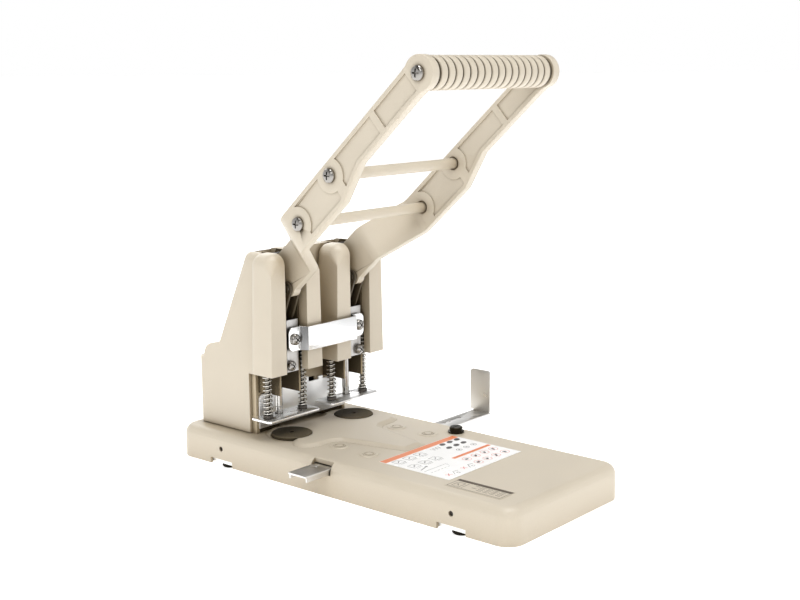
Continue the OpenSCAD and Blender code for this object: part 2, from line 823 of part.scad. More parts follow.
// Ringed grip
module grip_sleeve() {
    half = arm_x0 - collar_l;
    pitch = 2 * half / rings;
    color(c_cream) translate([-half, -grip_y, grip_z]) rotate([0, 90, 0]) rotate_extrude()
        polygon(concat([[6.02, 0]], [for (i = [0 : rings - 1]) each [
            [grip_r - 1.6, i * pitch], [grip_r - 1.6, i * pitch + 0.6], [grip_r - 0.3, i * pitch + 0.8],
            [grip_r, i * pitch + 1.6], [grip_r, (i + 1) * pitch - 1.6],
            [grip_r - 0.3, (i + 1) * pitch - 0.8], [grip_r - 1.6, (i + 1) * pitch - 0.6]]],
            [[grip_r - 1.6, 2 * half], [6.02, 2 * half]]));
}

// Dark collars between the grip and the arms
module grip_collars() {
    color(c_dark) both() difference() {
        xcyl(arm_x0 - collar_l, arm_x0, -grip_y, grip_z, grip_r - 1.3);
        xcyl(arm_x0 - collar_l - 1, arm_x0 + 1, -grip_y, grip_z, 6.02);
    }
}

// A rod between the arms, tapped at both ends
module tie_rod(place) {
    color(c_cream) on_arm_axes() difference() {
        xcyl(-arm_x0 - 3, arm_x0 + 3, place[0], place[1], rod_r);
        both() xcyl(arm_x0 - 10, arm_x0 + 4, place[0], place[1], 2.5);
    }
}

module tie_rod_upper() {
    tie_rod(rod_upper);
}

module tie_rod_lower() {
    tie_rod(rod_lower);
}

// Screws through the arms into the grip and the rods
module arm_screws() {
    color(c_steel) both() on_arm_axes() for (b = [[0, 0], rod_upper, rod_lower])
        translate([arm_x1, b[0], b[1]]) rotate([0, 0, 90]) pan_screw(5.4, 3.4, 2.45, arm_t + 8);
}

// Pins that join the links to the arms
module link_pins() {
    color(c_steel) both() {
        xcyl(tail_x0 - link_t - 1, tail_x1 + link_t + 1, link_y, link_z, pin_r - 0.01);
        for (x = [tail_x0 - link_t - 1.8, tail_x1 + link_t + 0.6]) xcyl(x, x + 1.2, link_y, link_z, 3.7);
    }
}

/* ---- Links ---- */

// One link plate, with a running hole at the arm and an open hole at the carrier
module link_plate(x) {
    dy = carry_y - link_y;
    dz = carry_z - link_z;
    reach = sqrt(dy * dy + dz * dz);
    side_plate(x, x + link_t) difference() {
        union() {
            translate([link_y, link_z]) circle(r = link_eye);
            translate([carry_y, carry_z]) circle(r = lug_r);
            translate([link_y, link_z]) rotate(atan2(dz, dy)) translate([0, -link_waist])
                square([reach, 2 * link_waist]);
        }
        translate([link_y, link_z]) circle(r = pin_r + 0.04);
        translate([carry_y, carry_z]) circle(r = pin_r + open_gap);
    }
}

module link_pair() {
    color(c_dark) {
        link_plate(tail_x0 - link_t - link_gap);
        link_plate(tail_x1 + link_gap);
    }
}

module link_right() {
    link_pair();
}

module link_left() {
    mirror([1, 0, 0]) link_pair();
}

/* ---- Punch carriage ---- */

// Steel carrier: front bar, block that holds the punch, lug for the links, ears for the rods
module carrier() {
    px = punch_pitch / 2;
    play = 0.3;
    block_x0 = cheek_x0 + cheek_t + play;
    block_x1 = cheek_x1 - cheek_t - play;
    color(c_steel) difference() {
        union() {
            box([31, bar_y0, tower_z - 0.4], [43.6, bar_y1, 126.4]);
            box([33, strap_ear_y + strap_t, strap_z0 + 3], [42.6, bar_y0, strap_z1 - 3]);
            box([33, bar_y1, tower_z - 0.4], [46, 74, block_top]);
            box([block_x0, 73, tower_z - 0.4], [block_x1, 91, block_top]);
            side_plate(tail_x0, tail_x1) union() {
                translate([carry_y, carry_z]) circle(r = lug_r);
                translate([carry_y - lug_r, block_top]) square([2 * lug_r, carry_z - block_top]);
            }
            box([rod_xs[0] - ear_half, rod_y - ear_half, ear_z],
                [rod_xs[1] + ear_half, rod_y + ear_half, ear_z + ear_t]);
        }
        zcyl(px, punch_y, 0, punch_top, punch_r);
        box([px - 3, punch_y - 3, punch_top], [px + 3, 92, block_top - 1]);
        xcyl(0, 80, carry_y, carry_z, pin_r);
        ycyl(strap_ear_x, 0, bar_y1 + 1, (strap_z0 + strap_z1) / 2, 2.1);
        ycyl(px, 0, punch_y, clamp_z, 2.1);
        for (x = rod_xs) zcyl(x, rod_y, ear_z - 1, ear_z + ear_t + 1, guide_r + 0.05);
    }
}

module carrier_right() {
    carrier();
}

module carrier_left() {
    mirror([1, 0, 0]) carrier();
}

// Hollow punch with a sharpened lower end
module punch() {
    tip = plate_top - plate_t + 0.2;
    color([0.88, 0.88, 0.87]) translate([punch_pitch / 2, punch_y, 0]) rotate_extrude()
        polygon([[hole_r - 0.25, tip], [hole_r, tip + 0.8], [hole_r, tip + 7], [punch_r - 0.01, tip + 8],
                 [punch_r - 0.01, punch_top - 0.1], [2.2, punch_top - 0.1], [2.2, tip + 4],
                 [hole_r - 0.5, tip]]);
}

module punch_right() {
    punch();
}

module punch_left() {
    mirror([1, 0, 0]) punch();
}

// Plated strap that makes both punches move together
module cross_strap() {
    zm = (strap_z0 + strap_z1) / 2;
    r = (strap_z1 - strap_z0) / 2;
    y0 = strap_y0;
    y2 = strap_ear_y;
    end_x = 44.3;
    end_r = 5;
    color([0.92, 0.92, 0.92]) difference() {
        union() {
            translate([0, 0, strap_z0]) linear_extrude(height = 2 * r) union() {
                translate([-28, y0]) square([56, strap_t]);
                both() polygon([[27.8, y0], [28.6, y0], [31.8, y2], [end_x - end_r, y2],
                                [end_x - end_r, y2 + strap_t], [30.7, y2 + strap_t],
                                [27.5, y0 + strap_t], [27.4, y0 + strap_t]]);
            }
            both() {
                box([end_x - end_r - 1, y2, strap_z0 + end_r], [end_x, y2 + strap_t, strap_z1 - end_r]);
                for (z = [strap_z0 + end_r, strap_z1 - end_r])
                    ycyl(end_x - end_r, y2, y2 + strap_t, z, end_r);
            }
        }
        both() ycyl(strap_ear_x, 0, far, zm, 2.1);
    }
}

// Screws through the strap, and the ones that clamp the punches
module strap_screws() {
    zm = (strap_z0 + strap_z1) / 2;
    color(c_steel) both() {
        translate([strap_ear_x, strap_ear_y, zm]) pan_screw(4.6, 3.8, 2, 8);
        translate([punch_pitch / 2, bar_y0, clamp_z])
            pan_screw(4.2, 4.4, 2, punch_y - punch_r - bar_y0 - 0.02);
    }
}

// Pins in the carriers that the links hang on
module carrier_pins() {
    color(c_steel) both() xcyl(tail_x0 - link_t - 1, tail_x1 + link_t + 1, carry_y, carry_z, pin_r - 0.01);
}

/* ---- Paper pressers ---- */

module pressure_plate() {
    color([0.9, 0.9, 0.9]) difference() {
        box([plate_x0, plate_y0, plate_top - plate_t], [plate_x1, plate_y1, plate_top]);
        zcyl(punch_pitch / 2, punch_y, 0, far, punch_r + 0.35);
        for (x = rod_xs) zcyl(x, rod_y, 0, far, guide_r + 0.01);
        for (x = [plate_x0, plate_x1]) translate([x, plate_y0, plate_top]) rotate([0, 0, 45])
            cube([3, 3, 10], center = true);
    }
}

module pressure_plate_right() {
    pressure_plate();
}

module pressure_plate_left() {
    mirror([1, 0, 0]) pressure_plate();
}

// Rods that guide the pressure plates, hanging by their heads from the carriers' ears
module guide_rods() {
    color(c_steel) both() for (x = rod_xs) {
        zcyl(x, rod_y, plate_top - plate_t, ear_z + ear_t + 1, guide_r);
        zcyl(x, rod_y, ear_z + ear_t + 0.1, ear_z + ear_t + 2.6, guide_r + 1.4);
    }
}

// Nuts that lock the rods to the plates
module rod_nuts() {
    color(c_dark) both() for (x = rod_xs) difference() {
        translate([x, rod_y, plate_top]) cylinder(h = nut_h, r = 4.2, $fn = 6);
        zcyl(x, rod_y, 0, far, guide_r + 0.01);
    }
}

// A wire wound into a coil with closer turns at its ends, from z0 to z1
module coil(r, wire, z0, z1) {
    sides = 4;
    n = spring_turns * 7;
    function angle(i) = 360 * spring_turns * i / n;
    function height(i) = let(t = i / n, e = 0.5 - 0.5 * cos(180 * t)) z0 + (z1 - z0) * (0.2 * e + 0.8 * t);
    points = [for (i = [0 : n], j = [0 : sides - 1])
        let(a = angle(i), b = 360 * j / sides, q = r + wire * cos(b))
        [q * cos(a), q * sin(a), height(i) + wire * sin(b)]];
    skin = [for (i = [0 : n - 1], j = [0 : sides - 1])
        let(p = i * sides + j, q = i * sides + (j + 1) % sides)
        each [[p, q, q + sides], [p, q + sides, p + sides]]];
    ends = [[3, 2, 1, 0], [for (j = [0 : sides - 1]) n * sides + j]];
    polyhedron(points = points, faces = concat(skin, ends));
}

module pressure_springs() {
    color(c_steel) both() for (x = rod_xs) translate([x, rod_y, 0])
        coil(spring_r, spring_wire, plate_top + nut_h + spring_wire, ear_z - spring_wire);
}

base_cover();
base_frame();
bottom_tray();
feet();
tray_screws();
screw_caps();
instruction_label();
printed_panel();
disc_left();
disc_right();
gauge_guide();
gauge_clamp();
gauge_strip();
gauge_knob();
chassis_left();
chassis_right();
chassis_bridge();
chassis_bolts();
chip_chutes();
paper_stop();
pivot_pins();
stop_pins();
return_springs();
head_cover();
cover_screws();
chip_drawer();
arm_left();
arm_right();
pivot_bushes();
grip_core();
grip_sleeve();
grip_collars();
tie_rod_upper();
tie_rod_lower();
arm_screws();
link_pins();
link_left();
link_right();
carrier_left();
carrier_right();
punch_left();
punch_right();
cross_strap();
strap_screws();
carrier_pins();
pressure_plate_left();
pressure_plate_right();
guide_rods();
rod_nuts();
pressure_springs();
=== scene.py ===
import json
import math

import bpy
import numpy as np
from mathutils import Matrix, Vector


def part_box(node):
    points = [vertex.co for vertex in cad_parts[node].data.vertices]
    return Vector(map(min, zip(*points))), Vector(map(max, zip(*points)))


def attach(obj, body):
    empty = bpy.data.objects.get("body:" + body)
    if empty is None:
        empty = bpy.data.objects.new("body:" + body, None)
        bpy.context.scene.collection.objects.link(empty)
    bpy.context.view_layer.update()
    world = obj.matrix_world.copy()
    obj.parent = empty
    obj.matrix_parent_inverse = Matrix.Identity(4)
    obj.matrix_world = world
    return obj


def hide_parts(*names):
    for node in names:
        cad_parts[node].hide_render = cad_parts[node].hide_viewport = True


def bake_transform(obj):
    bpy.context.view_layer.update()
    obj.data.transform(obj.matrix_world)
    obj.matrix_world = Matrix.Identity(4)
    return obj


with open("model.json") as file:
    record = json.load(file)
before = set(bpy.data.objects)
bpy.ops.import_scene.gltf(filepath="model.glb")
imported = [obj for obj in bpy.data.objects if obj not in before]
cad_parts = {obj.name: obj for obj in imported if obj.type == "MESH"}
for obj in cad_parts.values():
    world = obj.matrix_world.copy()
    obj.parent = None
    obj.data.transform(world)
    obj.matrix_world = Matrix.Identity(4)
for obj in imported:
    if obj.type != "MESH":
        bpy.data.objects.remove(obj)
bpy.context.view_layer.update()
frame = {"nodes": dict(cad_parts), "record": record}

MM = 0.001
nodes = frame["nodes"]
record = frame["record"]


# ---- Places taken from the frame: a node's box in metres, at rest ----

def low(node):
    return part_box(node)[0]


def high(node):
    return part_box(node)[1]


def middle(node):
    return (low(node) + high(node)) / 2


TABLE_Z = low("instruction_label").z
BASE_TOP = high("base_cover").z
DISC = middle("disc_right")
DISC_R = (high("disc_right").x - low("disc_right").x) / 2
LABEL_LOW, LABEL_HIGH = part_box("instruction_label")
PANEL_LOW, PANEL_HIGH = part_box("printed_panel")
GRIP_LOW, GRIP_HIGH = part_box("grip_sleeve")
SPRING_LOW, SPRING_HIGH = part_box("pressure_springs")


# ---- Node materials ----

BUMP_DEPTH = 0.05 * MM
FILM_BUMP_DEPTH = 0.03 * MM
PAINT_EDGE = 0.7 * MM
METAL_EDGE = 0.4 * MM
# Reach and tints of painted shade: colour darkened in wide hollows, in corners and in metal crevices, where
# shade falls
HOLLOW_REACH = 38 * MM
VALLEY_SHADE_TINT = (0.56, 0.48, 0.35)
CORNER_SHADE_TINT = (0.60, 0.52, 0.40)
METAL_SHADE_TINT = (0.17, 0.145, 0.11)
WARM_GLOSS_TINT = (0.95, 0.80, 0.55, 1)


def new_material(name):
    """A material with its node tree and its shader."""
    mat = bpy.data.materials.new(name)
    mat.use_nodes = True
    tree = mat.node_tree
    shader = tree.nodes["Principled BSDF"]
    return mat, tree, shader


def add(tree, kind, **values):
    """Adds a shader node and sets its properties, or its inputs, by name."""
    node = tree.nodes.new(kind)
    for key, value in values.items():
        if hasattr(node, key):
            setattr(node, key, value)
        else:
            node.inputs[key.replace("_", " ")].default_value = value
    return node


def noise(tree, scale, detail=3.0, stretch=(1, 1, 1)):
    """Noise in metres over the object, stretched along an axis for a grain."""
    coord = add(tree, "ShaderNodeTexCoord")
    mapping = add(tree, "ShaderNodeMapping", Scale=stretch)
    texture = add(tree, "ShaderNodeTexNoise", Scale=scale, Detail=detail)
    tree.links.new(coord.outputs["Object"], mapping.inputs["Vector"])
    tree.links.new(mapping.outputs["Vector"], texture.inputs["Vector"])
    return texture.outputs["Fac"]


def ramp(tree, source, stops):
    """A ramp from (position, value or colour) pairs."""
    node = add(tree, "ShaderNodeValToRGB")
    elements = node.color_ramp.elements
    while len(elements) < len(stops):
        elements.new(0.5)
    for element, (place, value) in zip(elements, stops):
        element.position = place
        element.color = (*value, 1) if isinstance(value, tuple) else (value, value, value, 1)
    tree.links.new(source, node.inputs["Fac"])
    return node.outputs["Color"]


def mix(tree, factor, first, second):
    """Mixes two colours, given as outputs or as tuples."""
    node = add(tree, "ShaderNodeMix", data_type="RGBA")
    # a mix node lists the sockets of every data type: 0, 6 and 7 in and 2 out are the colour ones
    for socket, value in ((node.inputs[0], factor), (node.inputs[6], first), (node.inputs[7], second)):
        if isinstance(value, bpy.types.NodeSocket):
            tree.links.new(value, socket)
        elif isinstance(value, tuple):
            socket.default_value = (*value, 1)
        else:
            socket.default_value = value
    return node.outputs[2]


def scaled(tree, source, factor):
    """An output times a number."""
    node = add(tree, "ShaderNodeMath", operation="MULTIPLY")
    tree.links.new(source, node.inputs[0])
    node.inputs[1].default_value = factor
    return node.outputs[0]


def edge_mask(tree, radius):
    """White where the surface turns within the radius: corners and edges."""
    bevel = add(tree, "ShaderNodeBevel", samples=4, Radius=radius)
    geometry = add(tree, "ShaderNodeNewGeometry")
    dot = add(tree, "ShaderNodeVectorMath", operation="DOT_PRODUCT")
    tree.links.new(bevel.outputs["Normal"], dot.inputs[0])
    tree.links.new(geometry.outputs["Normal"], dot.inputs[1])
    return ramp(tree, dot.outputs["Value"], [(0.80, 1.0), (0.985, 0.0)])


def crevice(tree, distance):
    """Dark where the surface is close to another one."""
    node = add(tree, "ShaderNodeAmbientOcclusion", samples=4, Distance=distance)
    return node.outputs["AO"]


def bump(tree, shader, height, strength, distance):
    """Fine relief from a height, on the shader's normal."""
    node = add(tree, "ShaderNodeBump", Strength=strength, Distance=distance)
    tree.links.new(height, node.inputs["Height"])
    tree.links.new(node.outputs["Normal"], shader.inputs["Normal"])


def darker(colour, by):
    """A colour times a number, or times one number per channel."""
    factors = by if isinstance(by, tuple) else (by,) * 3
    return tuple(c * k for c, k in zip(colour, factors))


def moulded(name, colour, rough=0.42, grain=1900, relief=0.10, mottle=0.05, coat=0.0, edge=1.05, gloss=0.5,
            corner_darkening=0.62, reach=4, corner_shade_mix=0.75, deep=1.0, from_ao=0.12):
    """Moulded plastic or stoved paint: fine grain, slight mottling, edges painted paler as a painted
    highlight, hollows painted browner as painted shade.

    The last arguments set the painted shade: its darkness, reach in mm and mix in corners, and its depth
    (deep) and onset (from_ao) in wide hollows.
    """
    mat, tree, shader = new_material(name)
    fine = noise(tree, grain, 2.0)
    broad = noise(tree, 35, 4.0)
    base = mix(tree, broad, darker(colour, 1 - mottle), darker(colour, 1 + mottle * 0.5))
    # Painted highlight: edges made paler, standing in for edges that catch the light
    edge_highlit = mix(tree, edge_mask(tree, PAINT_EDGE), base, darker(colour, edge))
    # Painted shade: wide hollows, found by occlusion, darkened towards a browner tone
    hollow = ramp(tree, crevice(tree, HOLLOW_REACH), [(from_ao, 1.0), (0.88, 0.0)])
    valley = darker(darker(colour, VALLEY_SHADE_TINT), deep)
    shaded = mix(tree, scaled(tree, hollow, 0.9), edge_highlit, valley)
    # Painted shade: corners within reach darkened, which also outlines recessed panels and gaps
    corner = ramp(tree, crevice(tree, reach * MM), [(0.35, 1.0), (0.93, 0.0)])
    corner_shade_colour = darker(darker(colour, CORNER_SHADE_TINT), corner_darkening)
    tree.links.new(mix(tree, scaled(tree, corner, corner_shade_mix), shaded, corner_shade_colour), shader.inputs["Base Color"])
    tree.links.new(ramp(tree, broad, [(0.3, rough - 0.05), (0.7, rough + 0.06)]), shader.inputs["Roughness"])
    bump(tree, shader, fine, relief, BUMP_DEPTH)
    shader.inputs["Specular IOR Level"].default_value = gloss
    if gloss < 0.5:
        shader.inputs["Specular Tint"].default_value = WARM_GLOSS_TINT
    shader.inputs["Coat Weight"].default_value = coat
    shader.inputs["Coat Roughness"].default_value = 0.25
    return mat


def metal(name, colour, rough=0.22, grain=500, stretch=(1, 1, 1), relief=0.03, wear=0.15, corner_darkening=0.5, reach=3,
          sides=0.0):
    """Bare or plated metal: grain along one way, smears, edges painted paler as a painted highlight, corners
    painted dark as painted shade.

    sides paints shade on the faces turned to the left and right, standing in for the dark reflection that
    bare metal shows beside a dark opening.
    """
    mat, tree, shader = new_material(name)
    fine = noise(tree, grain, 3.0, stretch)
    broad = noise(tree, 60, 4.0)
    base = mix(tree, broad, darker(colour, 1 - wear * 0.5), colour)
    pale = tuple(min(1.0, c * 1.12 + 0.02) for c in colour)
    # Painted highlight: edges made paler, standing in for edges that catch the light
    edge_highlit = mix(tree, edge_mask(tree, METAL_EDGE), base, pale)
    # Painted shade: corners within reach darkened towards a brown-grey tone
    shade = ramp(tree, crevice(tree, reach * MM), [(0.1, 1.0), (0.75, 0.0)])
    shaded = mix(tree, scaled(tree, shade, corner_darkening), edge_highlit, darker(colour, METAL_SHADE_TINT))
    if sides:
        # Painted shade: faces turned left and right darkened by their normal, standing in for a dark
        # reflection
        geometry = add(tree, "ShaderNodeNewGeometry")
        across = add(tree, "ShaderNodeSeparateXYZ")
        flank = add(tree, "ShaderNodeMath", operation="ABSOLUTE")
        tree.links.new(geometry.outputs["Normal"], across.inputs[0])
        tree.links.new(across.outputs["X"], flank.inputs[0])
        side_shade_mask = ramp(tree, flank.outputs[0], [(0.3, 0.0), (0.8, 1.0)])
        shaded = mix(tree, scaled(tree, side_shade_mask, sides), shaded, darker(colour, 0.12))
    tree.links.new(shaded, shader.inputs["Base Color"])
    tree.links.new(ramp(tree, broad, [(0.25, rough * 0.7), (0.75, rough * 1.4)]), shader.inputs["Roughness"])
    shader.inputs["Metallic"].default_value = 1.0
    bump(tree, shader, fine, relief, BUMP_DEPTH)
    return mat


def printed(name, colour, rough=0.32):
    """Printed film: even ink with a faint orange peel and a slight gloss."""
    mat, tree, shader = new_material(name)
    peel = noise(tree, 700, 2.0)
    broad = noise(tree, 90, 3.0)
    tree.links.new(mix(tree, broad, darker(colour, 0.96), colour), shader.inputs["Base Color"])
    tree.links.new(ramp(tree, broad, [(0.3, rough - 0.04), (0.7, rough + 0.05)]), shader.inputs["Roughness"])
    bump(tree, shader, peel, 0.06, FILM_BUMP_DEPTH)
    return mat


CREAM = (0.60, 0.535, 0.43)
materials = {
    # The valley between the towers is painted browner by the wide-hollow painted shade
    "cover_cream": moulded("cover_cream_plastic", CREAM, rough=0.38, relief=0.16, coat=0.1),
    # Short-reach painted shade darkens the corners of the arms' recessed panels into outlines
    "arm_cream": moulded(
        "arm_cream_paint", darker(CREAM, 0.985), rough=0.36, grain=1300, relief=0.12, coat=0.12,
        corner_darkening=0.5, reach=2.4),
    # Painted shade: strong corner darkening makes the gaps between the grip rings dark
    "grip_cream": moulded(
        "grip_cream_plastic", darker(CREAM, 0.98), rough=0.34, grain=2400, relief=0.08,
        corner_darkening=0.15, reach=4.5, corner_shade_mix=0.95),
    # Painted shade: the frame's hollows go nearly black (deep, from_ao); its paler edges are a painted
    # highlight
    "frame_tan": moulded(
        "frame_tan_paint", (0.42, 0.34, 0.22), rough=0.45, grain=900, relief=0.12, edge=1.25, gloss=0.08,
        corner_darkening=0.25, reach=6, deep=0.08, from_ao=0.72),
    "inner_steel": metal(
        "zinc_plate", (0.50, 0.49, 0.46), rough=0.34, grain=260, stretch=(1, 6, 1), corner_darkening=0.8, reach=6),
    "bright_plate": metal(
        "bright_plating", (0.95, 0.95, 0.95), rough=0.27, grain=300, stretch=(1, 14, 14), corner_darkening=0.7, reach=4),
    # Colour kept darker than bare steel and crevices darkened, as painted shade for the dark surroundings
    # the punch reflects
    "punch_steel": metal(
        "ground_steel", (0.52, 0.51, 0.49), rough=0.10, grain=500, stretch=(1, 1, 10), corner_darkening=0.9, reach=9),
    # Colour lowered and a 12 mm occlusion reach added: painted shade on the carriers
    "carrier_steel": metal(
        "machined_steel", (0.52, 0.51, 0.50), rough=0.36, grain=420, stretch=(8, 8, 1), corner_darkening=0.85, reach=12),
    "link_steel": moulded(
        "blackened_links", (0.085, 0.068, 0.042), rough=0.42, grain=700, mottle=0.15, edge=1.6),
    "spring_steel": metal("drawn_wire", (0.72, 0.70, 0.66), rough=0.18, grain=900, corner_darkening=1.0, reach=2.2),
    # Colour darker than nickel, as painted shade for the dark surroundings the screw heads reflect
    "screw_steel": metal("nickel_screws", (0.36, 0.345, 0.325), rough=0.11, grain=800, corner_darkening=1.0, reach=5),
    "dark_steel": metal("blackened_steel_and_shade", (0.10, 0.09, 0.08), rough=0.32, grain=700, corner_darkening=0.5),
    # The discs' paler rim is a painted highlight
    "disc_dark": moulded(
        "disc_dark_plastic", (0.14, 0.115, 0.075), rough=0.24, grain=500, relief=0.06, mottle=0.5, coat=0.08,
        edge=1.5, gloss=0.0, corner_darkening=0.05, deep=0.25),
    # The knob's strongly paler edges are a painted highlight
    "knob_black": moulded(
        "knob_black_plastic", (0.014, 0.012, 0.008), rough=0.22, grain=900, relief=0.06, mottle=0.2,
        edge=2.5, gloss=0.2, corner_darkening=0.7),
    "foot_rubber": moulded(
        "foot_rubber_black", (0.014, 0.013, 0.012), rough=0.75, grain=1100, relief=0.3, mottle=0.25,
        edge=1.8, gloss=0.2),
    # Painted shade: a 14 mm occlusion reach darkens the strip where it runs inside the base's notch
    "gauge_steel": metal(
        "gauge_plate", (0.74, 0.73, 0.71), rough=0.34, grain=380, stretch=(1, 12, 1), corner_darkening=0.95, reach=14),
    "label_white": printed("label_film_white", (0.97, 0.97, 0.965), rough=0.24),
    "print_tan": printed("panel_film_tan", darker(CREAM, 0.96), rough=0.36),
    "bush_bronze": metal("bush_bronze", (0.55, 0.37, 0.18), rough=0.38, grain=900),
}
# Nodes whose own finish differs from the rest of their slot, and nodes given a darker material as painted
# shade
NODE_FINISH = {
    "bottom_tray": metal("galvanised_tray", (0.93, 0.93, 0.92), rough=0.5, grain=260, corner_darkening=0.3),
    "paper_stop": metal(
        "satin_stop", (0.96, 0.96, 0.955), rough=0.42, grain=300, stretch=(1, 10, 10), corner_darkening=0.25, reach=4),
    # Painted shade: the strap's bends are darkened by sides, its ears by the corner reach
    "cross_strap": metal(
        "strap_plating", (0.95, 0.95, 0.95), rough=0.24, grain=300, stretch=(1, 14, 14), corner_darkening=0.5, reach=5,
        sides=0.85),
    "chassis_bridge": moulded(
        "bridge_tan", (0.64, 0.55, 0.40), rough=0.45, grain=900, relief=0.12, corner_darkening=0.35, deep=0.9),
    # Painted shade: these parts seen through the tower tops are given dark steel so they read as shade
    "pivot_pins": materials["dark_steel"],
    "stop_pins": materials["dark_steel"],
    "return_springs": materials["dark_steel"],
    "grip_collars": moulded("collar_brown", (0.10, 0.082, 0.055), rough=0.4, grain=1300, edge=1.6),
    # Painted shade: the rods behind the springs are made dark so that the gaps between the coils read dark
    "guide_rods": metal(
        "rods_darkened_as_shade", (0.20, 0.185, 0.16), rough=0.16, grain=600, stretch=(1, 1, 8), corner_darkening=0.9),
}
INK_ORANGE = printed("ink_orange", (0.80, 0.235, 0.085))
INK_DARK = printed("ink_dark", (0.055, 0.052, 0.050))
INK_RED = printed("ink_red", (0.72, 0.10, 0.06))
INK_BROWN = printed("ink_brown", (0.085, 0.06, 0.035))


# ---- CAD nodes: materials, smooth shading and softened edges ----

WELD_REACH = 0.002 * MM


def shade_by_angle(obj, degrees=32):
    """Smooth shading that still breaks at sharp edges."""
    mesh = obj.data
    mesh.polygons.foreach_set("use_smooth", [True] * len(mesh.polygons))
    mod = obj.modifiers.new("smooth_by_angle", "EDGE_SPLIT")
    mod.split_angle = math.radians(degrees)


def soften(obj, width, segments=3, angle=35):
    """Rounds the sharp edges that a casting, a moulding or a folded plate doesn't have."""
    weld = obj.modifiers.new("weld", "WELD")
    weld.merge_threshold = WELD_REACH
    mod = obj.modifiers.new("edge_round", "BEVEL")
    mod.width = width
    mod.segments = segments
    mod.limit_method = "ANGLE"
    mod.angle_limit = math.radians(angle)
    mod.use_clamp_overlap = True
    mod.harden_normals = True


SLOT_OF = {p["node"]: p["material_slot"] for p in record["subparts"]}
# Radius of the rounded edges in mm, by node
ROUNDED = {
    "chip_drawer": 0.8,
    **dict.fromkeys(("arm_left", "arm_right"), 0.5),
    **dict.fromkeys(("carrier_left", "carrier_right"), 0.4),
    **dict.fromkeys(("chassis_left", "chassis_right", "chassis_bridge", "base_frame"), 0.3),
    **dict.fromkeys(("link_left", "link_right", "cross_strap", "rod_nuts"), 0.3),
    **dict.fromkeys(("pressure_plate_left", "pressure_plate_right", "paper_stop", "gauge_strip"), 0.25),
    **dict.fromkeys(("tie_rod_upper", "tie_rod_lower"), 0.2),
}
for name, obj in nodes.items():
    obj.data.materials.clear()
    obj.data.materials.append(NODE_FINISH.get(name, materials[SLOT_OF[name]]))
    if name in ROUNDED:
        soften(obj, ROUNDED[name] * MM)
    shade_by_angle(obj)


# ---- Helpers for new pieces ----

def make_piece(name, verts, faces, body, material, smooth=True, angle=35):
    """A mesh object with one material, that rides on a body when one is given."""
    mesh = bpy.data.meshes.new(name)
    mesh.from_pydata([tuple(v) for v in verts], [], [tuple(f) for f in faces])
    mesh.validate()
    mesh.update()
    obj = bpy.data.objects.new(name, mesh)
    bpy.context.scene.collection.objects.link(obj)
    mesh.materials.append(material)
    if smooth:
        shade_by_angle(obj, angle)
    if body:
        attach(obj, body)
    return obj


# ---- The raised paper bed, as one soft skin over the CAD's bed ----

# The right half of the bed's outline in mm, from the back to its narrow front end
BED_HALF = [(17, 90), (26, 96.5), (38, 96.5), (45, 91), (50, 83), (47, 59), (55, 50), (56, 43), (52, 37.5),
            (43, 34.5), (30, 34), (23, 29), (20, 14), (15.5, -6), (10.5, -27)]
BED_STEP = 0.7
BED_GRID_X = (-62, 62.01)
BED_GRID_Y = (-29.6, 103)
BED_SLOPE_OUT = 2.2
BED_SLOPE_IN = 3.8
BED_PROUD = 0.06
WELL_GAP = 0.4
SKIN = 0.8 * MM
SKIN_LIFT = 0.02


def outline_distance(px, py, outline):
    """Signed distance from the outline, positive inside."""
    inside = np.zeros(px.shape, bool)
    nearest = np.full(px.shape, 1e9)
    for (ax, ay), (bx, by) in zip(outline, outline[1:] + outline[:1]):
        ex, ey = bx - ax, by - ay
        t = np.clip(((px - ax) * ex + (py - ay) * ey) / (ex * ex + ey * ey), 0, 1)
        nearest = np.minimum(nearest, np.hypot(px - ax - t * ex, py - ay - t * ey))
        crosses = (ay > py) != (by > py)
        with np.errstate(divide="ignore", invalid="ignore"):
            inside ^= crosses & (px < ax + (py - ay) * ex / ey)
    return np.where(inside, nearest, -nearest)


def blurred(values, passes):
    """A grid of values, averaged with its neighbours a few times."""
    for _ in range(passes):
        values = values.copy()
        values[1:-1] = (values[:-2] + 2 * values[1:-1] + values[2:]) / 4
        values[:, 1:-1] = (values[:, :-2] + 2 * values[:, 1:-1] + values[:, 2:]) / 4
    return values


